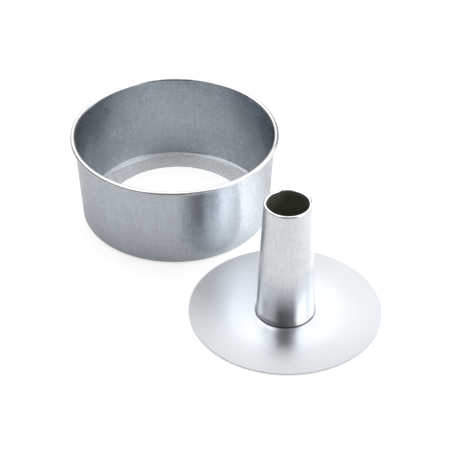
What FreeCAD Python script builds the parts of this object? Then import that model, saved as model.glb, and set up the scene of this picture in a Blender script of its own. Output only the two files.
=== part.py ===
"""Two-piece tube cake tin in bare aluminium, 17 cm size, standing with its base beside its ring.

Three sheet-metal pieces, each a body of revolution: the bottomless outer ring, the flat base disc
and the tapered centre tube that is crimped through the disc.
Millimetres, +Z up. The origin is on the outer ring's axis, in the plane the tin stands on.
"""

import os
from math import cos, radians, sin, tan

import FreeCAD
import Part

# Outer ring: one sheet, from the bottom opening out over a step and a rounded corner to the curled rim.
RING_SHEET = 0.9
RING_HEIGHT = 79.0
OPENING_RADIUS = 61.0        # hole in the bottom flange
STEP_RADIUS = 77.3           # middle of the small step between flange and ledge
STEP_RISE = 1.5
STEP_RUN = 0.8               # the step leans outwards by this much
STEP_BEND = 0.7
WALL_RADIUS_AT_FOOT = 80.8   # middle of the sheet, wall line carried down to the ground
WALL_LEAN = 3.2              # degrees outwards from vertical
CORNER_BEND = 1.7
CURL_RADIUS = 2.1            # outside of the curl
CURL_TURN = 285              # degrees of curl

# Base disc: flat, with a hole for the tube's neck.
DISC_RADIUS = 78.1
DISC_SHEET = 1.0
NECK_CLEARANCE = 0.2

# Centre tube: lip under the disc, neck through it, folded shoulder on it, tapered wall, hemmed mouth.
TUBE_SHEET = 0.8
TUBE_HEIGHT = 108.6
LIP_RADIUS = 26.2
NECK_RADIUS = 22.5           # middle of the sheet
SHOULDER_RADIUS = 23.8       # middle of the sheet, where its two leaves would meet without the bend
SHOULDER_HEIGHT = 4.0        # from the fold up to where the tapered wall starts
FOOT_BEND = 0.5
TUBE_RADIUS_AT_FOOT = 23.2   # middle of the sheet
TUBE_RADIUS_AT_TOP = 18.75   # middle of the sheet
MOUTH_RADIUS = 16.4          # inside of the hem
HEM_LENGTH = 3.0             # straight inner leg of the hem

# The base stands beside the ring, its axis here.
BASE_AXIS = FreeCAD.Vector(91.6, -140.8, 0)


def point(radius, height):
    return FreeCAD.Vector(radius, 0, height)


def middle_line(corners):
    """Edges through corners (radius, height, bend radius), each inner corner rounded by its bend."""
    edges = []
    start = point(*corners[0][:2])
    for (r0, z0, _), (r1, z1, bend), (r2, z2, _) in zip(corners, corners[1:], corners[2:]):
        corner = point(r1, z1)
        back = (point(r0, z0) - corner).normalize()
        ahead = (point(r2, z2) - corner).normalize()
        half_angle = back.getAngle(ahead) / 2
        setback = bend * cos(half_angle) / sin(half_angle)
        inwards = (back + ahead).normalize()
        bend_start = corner + back * setback
        bend_middle = corner + inwards * (bend / sin(half_angle) - bend)
        bend_end = corner + ahead * setback
        edges.append(Part.LineSegment(start, bend_start).toShape())
        edges.append(Part.Arc(bend_start, bend_middle, bend_end).toShape())
        start = bend_end
    edges.append(Part.LineSegment(start, point(*corners[-1][:2])).toShape())
    return edges


def arc_about(centre, radius, start_angle, turn):
    """Arc edge in the section plane; angles in degrees from the outward direction towards up."""
    points = [
        centre + point(radius * cos(radians(angle)), radius * sin(radians(angle)))
        for angle in (start_angle, start_angle + turn / 2, start_angle + turn)
    ]
    return Part.Arc(*points).toShape()


def spun_sheet(edges, thickness):
    """Solid of one sheet whose middle line is given by edges, revolved about the Z axis."""
    line = Part.Wire(edges)
    sides = [
        line.makeOffset2D(side * thickness / 2, join=0, fill=False, openResult=True)
        for side in (1, -1)
    ]
    ends = [
        Part.LineSegment(*(side.OrderedVertexes[end].Point for side in sides)).toShape()
        for end in (0, -1)
    ]
    outline = Part.Wire(Part.__sortEdges__(sides[0].Edges + sides[1].Edges + ends))
    return Part.Face(outline).revolve(FreeCAD.Vector(), FreeCAD.Vector(0, 0, 1), 360)


def outer_ring():
    flange_z = RING_SHEET / 2
    ledge_z = flange_z + STEP_RISE
    slope = tan(radians(WALL_LEAN))
    curl_middle = CURL_RADIUS - RING_SHEET / 2
    curl_z = RING_HEIGHT - CURL_RADIUS
    wall_top_z = curl_z + curl_middle * sin(radians(WALL_LEAN))
    wall_top = point(WALL_RADIUS_AT_FOOT + slope * wall_top_z, wall_top_z)
    curl_centre = point(wall_top.x + curl_middle * cos(radians(WALL_LEAN)), curl_z)

    edges = middle_line([
        (OPENING_RADIUS, flange_z, 0),
        (STEP_RADIUS - STEP_RUN / 2, flange_z, STEP_BEND),
        (STEP_RADIUS + STEP_RUN / 2, ledge_z, STEP_BEND),
        (WALL_RADIUS_AT_FOOT + slope * ledge_z, ledge_z, CORNER_BEND),
        (wall_top.x, wall_top.z, 0),
    ])
    edges.append(arc_about(curl_centre, curl_middle, 180 - WALL_LEAN, -CURL_TURN))
    return spun_sheet(edges, RING_SHEET)


def base_disc():
    """Disc held between the tube's lip and shoulder."""
    hole_radius = NECK_RADIUS + TUBE_SHEET / 2 + NECK_CLEARANCE
    blank = Part.makeCylinder(DISC_RADIUS, DISC_SHEET)
    disc = blank.cut(Part.makeCylinder(hole_radius, DISC_SHEET)).Solids[0]
    disc.translate(BASE_AXIS + FreeCAD.Vector(0, 0, TUBE_SHEET))
    return disc


def centre_tube():
    lip_z = TUBE_SHEET / 2
    fold_z = TUBE_SHEET + DISC_SHEET + TUBE_SHEET / 2
    hem_middle = MOUTH_RADIUS + TUBE_SHEET / 2
    hem_bend = (TUBE_RADIUS_AT_TOP - hem_middle) / 2
    hem_z = TUBE_HEIGHT - TUBE_SHEET / 2 - hem_bend

    edges = middle_line([
        (LIP_RADIUS, lip_z, 0),
        (NECK_RADIUS, lip_z, FOOT_BEND),
        (NECK_RADIUS, fold_z, FOOT_BEND),
        (SHOULDER_RADIUS, fold_z, FOOT_BEND),
        (TUBE_RADIUS_AT_FOOT, fold_z + SHOULDER_HEIGHT, FOOT_BEND),
        (TUBE_RADIUS_AT_TOP, hem_z, 0),
    ])
    edges.append(arc_about(point(hem_middle + hem_bend, hem_z), hem_bend, 0, 180))
    hem_leg = Part.LineSegment(point(hem_middle, hem_z), point(hem_middle, hem_z - HEM_LENGTH))
    edges.append(hem_leg.toShape())
    tube = spun_sheet(edges, TUBE_SHEET)
    tube.translate(BASE_AXIS)
    return tube


os.makedirs("parts", exist_ok=True)
for build in (outer_ring, base_disc, centre_tube):
    shape = build()
    print(build.__name__, shape.ShapeType, shape.isValid(), round(shape.Volume), shape.BoundBox)
    shape.exportStep(f"parts/{build.__name__}.step")
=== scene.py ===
"""Looks for a two-piece tube cake tin in bare satin aluminium, its base standing beside its ring."""

from math import cos, pi, radians, sin

import bpy
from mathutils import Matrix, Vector


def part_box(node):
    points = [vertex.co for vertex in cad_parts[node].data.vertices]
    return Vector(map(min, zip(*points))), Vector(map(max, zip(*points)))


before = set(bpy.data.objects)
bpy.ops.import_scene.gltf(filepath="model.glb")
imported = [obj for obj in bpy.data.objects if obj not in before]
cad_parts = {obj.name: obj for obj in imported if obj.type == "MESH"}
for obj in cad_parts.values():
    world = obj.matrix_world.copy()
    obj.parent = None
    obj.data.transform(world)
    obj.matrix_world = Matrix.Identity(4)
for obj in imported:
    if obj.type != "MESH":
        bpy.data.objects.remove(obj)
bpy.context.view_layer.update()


def foot_of(node):
    """Point on the ground under the middle of a node."""
    low, high = (Vector(corner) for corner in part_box(node))
    return Vector(((low.x + high.x) / 2, (low.y + high.y) / 2, 0))


RING_FOOT = foot_of("outer_ring")
BASE_FOOT = foot_of("centre_tube")
MIDDLE = (RING_FOOT + BASE_FOOT) / 2

# Camera, looking along +Y and down.
CAMERA_LENS = 129.6                            # mm, on a 36 mm sensor
CAMERA_PITCH = 37.35                           # degrees below the horizontal
CAMERA_DISTANCE = 1.4104                       # metres from what it looks at
CAMERA_AIM = RING_FOOT + Vector((0.0437, -0.0281, 0))

# Stage, in metres: white paper that only the camera sees, and a pale table top that only the metal
# reflects, with a painted pool of light on it at the right of the ring, a glow in the table's
# material.
STAGE_SIZE = 8.0
PAPER_Z = -0.0002
PAPER_GREY = 0.35
PAPER_GLOW = 0.75
TABLE_Z = -0.0003
TABLE_GREY = 0.8
POOL_PLACE = RING_FOOT + Vector((0.115, -0.065, 0))
POOL_RADIUS = 0.09
POOL_GLOW = 1.0
WORLD_COLOUR = (0.01, 0.01, 0.012)

# Soft boxes, all facing the middle of the tin: azimuth from the camera's side towards +X, elevation,
# distance, width, height, radiance.
SOFT_BOXES = {
    "back_box": (180, 30, 1.7, 0.95, 0.65, 0.83),
    "back_left_box": (-150, 30, 1.7, 0.95, 0.65, 1.45),
    "left_box": (-105, 30, 1.7, 1.40, 0.65, 0.25),
    "front_right_box": (60, 30, 1.7, 0.95, 0.65, 3.5),
    "right_box": (90, 30, 1.7, 0.95, 0.65, 1.4),
    "high_back_box": (-170, 52, 1.7, 1.40, 0.65, 0.6),
    "high_left_box": (-120, 52, 1.7, 0.95, 0.65, 1.6),
    "high_front_left_box": (-60, 52, 1.7, 0.95, 0.65, 1.5),
    "overhead_sheet": (180, 76, 1.7, 3.20, 2.60, 1.25),
    "near_right_box": (115, 25, 0.45, 0.30, 0.20, 1.6),
    "near_high_right_box": (90, 50, 0.45, 0.30, 0.20, 1.0),
}

RING_OUTSIDE = (0.65, 0.70, 0.755)
# Painted shade: a darker copy of the ring's metal, used on its inward faces.
RING_INSIDE_PAINTED_SHADE = (0.59, 0.64, 0.69)
# Painted highlight: near white, for the bright lines on the step and along the top of the curl.
RING_PAINTED_HIGHLIGHT = (0.95, 0.97, 0.99)
# Painted light: the up-facing flange is coloured near white to look brightly lit.
FLANGE_PAINTED_LIGHT = (0.96, 0.985, 1.0)
DISC = (0.76, 0.785, 0.815)
TUBE = (0.925, 0.96, 1.0)
BORE_PAINTED_SHADE = (0.48, 0.47, 0.385)                     # painted shade in the tube's bore, dull and brownish
CREASE_PAINTED_SHADE = (0.10, 0.11, 0.13)                      # painted shade in the crease where the tube meets the disc

# Finish of each piece, lengths in metres from the foot of its axis. Roughness and metallic go from
# their first value to their second between the two radii.
#   bands   low, high, roughness, metallic, colour: replaces the finish between two heights
#   inside  low, high, roughness, colour: the same, on the faces that look at the axis
#   crease_shade  "height" or "radius", and where along it the painted shade in the crease starts to
#   fade and is gone
FINISHES = {
    "outer_ring": dict(
        colour=RING_OUTSIDE, radii=(0.06, 0.08), roughness=(0.24, 0.24), metallic=(1.0, 1.0),
        anisotropy=0.55, relief=0.13,
        bands=(
            (-0.001, 0.0013, 0.62, 1.0, FLANGE_PAINTED_LIGHT),          # flange, its colour painted near white: painted light where it faces up
            (0.0013, 0.0026, 0.40, 0.6, RING_PAINTED_HIGHLIGHT),     # step and ledge, painted highlight along the step's bend
            (0.0768, 0.0800, 0.32, 1.0, RING_PAINTED_HIGHLIGHT),     # top of the curl, painted highlight
        ),
        # The ring's inward faces take a darker colour: painted shade.
        inside=((0.0030, 0.0768, 0.28, RING_INSIDE_PAINTED_SHADE),), crease_shade=()),
    "base_disc": dict(
        colour=DISC, radii=(0.042, 0.076), roughness=(0.33, 0.58), metallic=(1.0, 0.45),
        anisotropy=0.0, relief=0.05,
        # The disc darkens near the tube's foot: painted shade in the crease.
        bands=(), inside=(), crease_shade=(("radius", 0.0240, 0.0252),)),
    "centre_tube": dict(
        colour=TUBE, radii=(0.01, 0.02), roughness=(0.22, 0.22), metallic=(1.0, 1.0),
        anisotropy=0.4, relief=0.10,
        # Painted shade: the tube's bore and the crease at its foot are darkened.
        bands=(), inside=((-0.001, 0.1065, 0.5, BORE_PAINTED_SHADE),), crease_shade=(("height", 0.0022, 0.0032),)),
}
# How dark the painted shade in the crease gets.
CREASE_SHADE_STRENGTH = 0.85
BAND_EDGE = 0.0003                             # half the width over which a band fades in
# A face looks at the axis where its normal dotted with the way out from the axis is below this.
INWARDS = -0.0001

# Marks in the metal: noise scale per metre, and detail.
FINE_LINES = (2600.0, 3.0)
BROAD_LINES = (260.0, 2.0)
GRAIN = (520.0, 2.0)
STREAKS = (600.0, 2.0)
STREAK_SHAPE = (1, 1, 0.1)                     # drawn out along the height
CLOUDS = (30.0, 3.0)
CLOUD_ROUGHNESS = 0.04
MARK_ROUGHNESS = 0.1                           # times the relief
ROUGHNESS_SPAN = (0.3, 0.7)                    # part of the noise that changes the roughness
COLOUR_SPAN = (0.35, 0.65)                     # part of the noise that changes the colour
BUMP_DEPTH = 0.0001
ALONG_TURNING = 0.25                           # anisotropic rotation, in turns


class Shader:
    """Short way to add linked nodes to one material."""

    def __init__(self, name):
        self.material = bpy.data.materials.new(name)
        self.material.use_nodes = True
        self.tree = self.material.node_tree
        self.tree.nodes.clear()

    def add(self, kind, inputs=(), **settings):
        node = self.tree.nodes.new("ShaderNode" + kind)
        for key, value in settings.items():
            setattr(node, key, value)
        for key, value in dict(inputs).items():
            if isinstance(value, bpy.types.NodeSocket):
                self.tree.links.new(value, node.inputs[key])
            else:
                node.inputs[key].default_value = value
        return node

    def math(self, operation, a, b):
        return self.add("Math", {0: a, 1: b}, operation=operation).outputs[0]

    def vector(self, operation, a, b=(0, 0, 0), output=0):
        return self.add("VectorMath", {0: a, 1: b}, operation=operation).outputs[output]

    def noise(self, vector, scale, detail):
        return self.add("TexNoise", {"Vector": vector, "Scale": scale, "Detail": detail}).outputs[0]

    def spread(self, value, start, end, low, high):
        """Maps start..end to low..high, and holds it there beyond."""
        limits = {"Value": value, "From Min": start, "From Max": end, "To Min": low, "To Max": high}
        return self.add("MapRange", limits).outputs[0]

    def within(self, value, low, high):
        """1 between low and high, 0 outside, with soft edges."""
        above = self.spread(value, low - BAND_EDGE, low + BAND_EDGE, 0.0, 1.0)
        below = self.spread(value, high - BAND_EDGE, high + BAND_EDGE, 1.0, 0.0)
        return self.math("MULTIPLY", above, below)

    def blend(self, factor, a, b):
        return self.spread(factor, 0.0, 1.0, a, b)

    def tint(self, factor, a, colour):
        return self.add("MixRGB", {"Fac": factor, "Color1": a, "Color2": (*colour, 1)}).outputs[0]

    def bump(self, height, strength, **normal):
        inputs = {"Strength": strength, "Distance": BUMP_DEPTH, "Height": height, **normal}
        return self.add("Bump", inputs).outputs[0]

    def finish_with(self, surface):
        self.add("OutputMaterial", {"Surface": surface.outputs[0]})
        return self.material


def spun_aluminium(name, foot, finish):
    """Satin aluminium turned about the upright axis through foot."""
    s = Shader(name)
    place = s.vector("SUBTRACT", s.add("TexCoord").outputs["Object"], foot)
    xyz = s.add("SeparateXYZ", {0: place})
    height = xyz.outputs[2]
    flat = s.add("CombineXYZ", {0: xyz.outputs[0], 1: xyz.outputs[1]}).outputs[0]
    radius = s.vector("LENGTH", flat, output="Value")
    section = s.add("CombineXYZ", {0: radius, 1: height}).outputs[0]

    # Turning marks follow the section; grain, upright streaks and clouds follow the surface.
    fine_lines = s.noise(section, *FINE_LINES)
    broad_lines = s.noise(section, *BROAD_LINES)
    grain = s.noise(place, *GRAIN)
    streaks = s.noise(s.vector("MULTIPLY", place, STREAK_SHAPE), *STREAKS)
    clouds = s.noise(place, *CLOUDS)
    relief = finish["relief"]

    rough = s.spread(radius, *finish["radii"], *finish["roughness"])
    metallic = s.spread(radius, *finish["radii"], *finish["metallic"])
    colour = (*finish["colour"], 1)
    # The bands paint light into the colour: the flange lighter, and highlights on the step and the top
    # of the curl.
    for low, high, band_roughness, band_metallic, band_colour in finish["bands"]:
        band = s.within(height, low, high)
        rough = s.blend(band, rough, band_roughness)
        metallic = s.blend(band, metallic, band_metallic)
        colour = s.tint(band, colour, band_colour)
    # Inward faces take their own colour: painted shade inside the ring and in the tube's bore.
    for low, high, inside_roughness, inside_colour in finish["inside"]:
        facing = s.vector("DOT_PRODUCT", s.add("NewGeometry").outputs["Normal"], flat, output="Value")
        inside = s.math("MULTIPLY", s.within(height, low, high), s.math("LESS_THAN", facing, INWARDS))
        rough = s.blend(inside, rough, inside_roughness)
        colour = s.tint(inside, colour, inside_colour)
    # Painted shade: darkens the colour in the crease where the tube meets the disc.
    for measure, start, end in finish["crease_shade"]:
        along = {"height": height, "radius": radius}[measure]
        colour = s.tint(s.spread(along, start, end, CREASE_SHADE_STRENGTH, 0.0), colour, CREASE_PAINTED_SHADE)

    marks = MARK_ROUGHNESS * relief
    for noise, amount in ((clouds, CLOUD_ROUGHNESS), (grain, marks), (fine_lines, marks)):
        rough = s.math("ADD", rough, s.spread(noise, *ROUGHNESS_SPAN, -amount, amount))
    for noise, share in ((grain, 1.0), (streaks, 0.7), (broad_lines, 0.4), (clouds, 0.6)):
        colour = s.tint(s.spread(noise, *COLOUR_SPAN, share * relief, 0.0), colour, (0, 0, 0))

    bump = s.bump(grain, relief, Normal=s.bump(fine_lines, relief))
    tangent = s.add("Tangent", direction_type="RADIAL", axis="Z").outputs[0]
    return s.finish_with(s.add("BsdfPrincipled", {
        "Base Color": colour, "Metallic": metallic, "Roughness": rough, "Normal": bump,
        "Anisotropic": finish["anisotropy"], "Anisotropic Rotation": ALONG_TURNING, "Tangent": tangent,
    }))


def matt(s, grey, glow):
    """Fills an empty shader with a plain matt surface."""
    return s.finish_with(s.add("BsdfPrincipled", {
        "Base Color": (grey, grey, grey, 1), "Roughness": 0.9,
        "Emission Color": (1, 1, 1, 1), "Emission Strength": glow,
    }))


def table_with_painted_pool():
    """Pale table top with a painted pool of light: it glows brightest in the middle of the pool."""
    s = Shader("table")
    place = s.add("TexCoord").outputs["Object"]
    from_pool = s.vector("DISTANCE", place, POOL_PLACE - MIDDLE, output="Value")
    return matt(s, TABLE_GREY, s.spread(from_pool, 0.0, POOL_RADIUS, POOL_GLOW, 0.0))


def soft_box(name, azimuth, elevation, distance, width, height, radiance):
    data = bpy.data.lights.new(name, "AREA")
    data.shape = "RECTANGLE"
    data.size, data.size_y = width, height
    data.energy = radiance * pi * width * height
    azimuth, elevation = radians(azimuth), radians(elevation)
    outwards = Vector((sin(azimuth) * cos(elevation), -cos(azimuth) * cos(elevation), sin(elevation)))
    light = bpy.data.objects.new(name, data)
    light.location = MIDDLE + outwards * distance
    light.rotation_euler = outwards.to_track_quat("Z", "Y").to_euler()
    light.visible_camera = False
    bpy.context.scene.collection.objects.link(light)


for node, finish in FINISHES.items():
    foot = RING_FOOT if node == "outer_ring" else BASE_FOOT
    metal = spun_aluminium(node + "_aluminium", foot, finish)
    for material_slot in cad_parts[node].material_slots:
        material_slot.material = metal

for name, numbers in SOFT_BOXES.items():
    soft_box(name, *numbers)

world = bpy.data.worlds.new("studio")
world.use_nodes = True
world.node_tree.nodes["Background"].inputs["Color"].default_value = (*WORLD_COLOUR, 1)
bpy.context.scene.world = world

bpy.ops.mesh.primitive_cylinder_add(
    vertices=96, radius=STAGE_SIZE / 2, depth=STAGE_SIZE / 2,
    location=MIDDLE + Vector((0, 0, PAPER_Z + STAGE_SIZE / 4)))
paper = bpy.context.object
paper.name = "white_paper"
paper.data.materials.append(matt(Shader("paper"), PAPER_GREY, PAPER_GLOW))
for flag in ("visible_diffuse", "visible_glossy", "visible_transmission", "visible_shadow"):
    setattr(paper, flag, False)

bpy.ops.mesh.primitive_plane_add(size=STAGE_SIZE, location=MIDDLE + Vector((0, 0, TABLE_Z)))
table = bpy.context.object
table.name = "pale_table"
table.data.materials.append(table_with_painted_pool())
table.visible_camera = False

camera = bpy.data.objects.new("camera", bpy.data.cameras.new("camera"))
bpy.context.scene.collection.objects.link(camera)
bpy.context.scene.camera = camera
camera.data.lens = CAMERA_LENS
backwards = Vector((0, -cos(radians(CAMERA_PITCH)), sin(radians(CAMERA_PITCH))))
camera.location = CAMERA_AIM + backwards * CAMERA_DISTANCE
camera.rotation_euler = backwards.to_track_quat("Z", "Y").to_euler()
bpy.context.scene.view_settings.view_transform = "Standard"
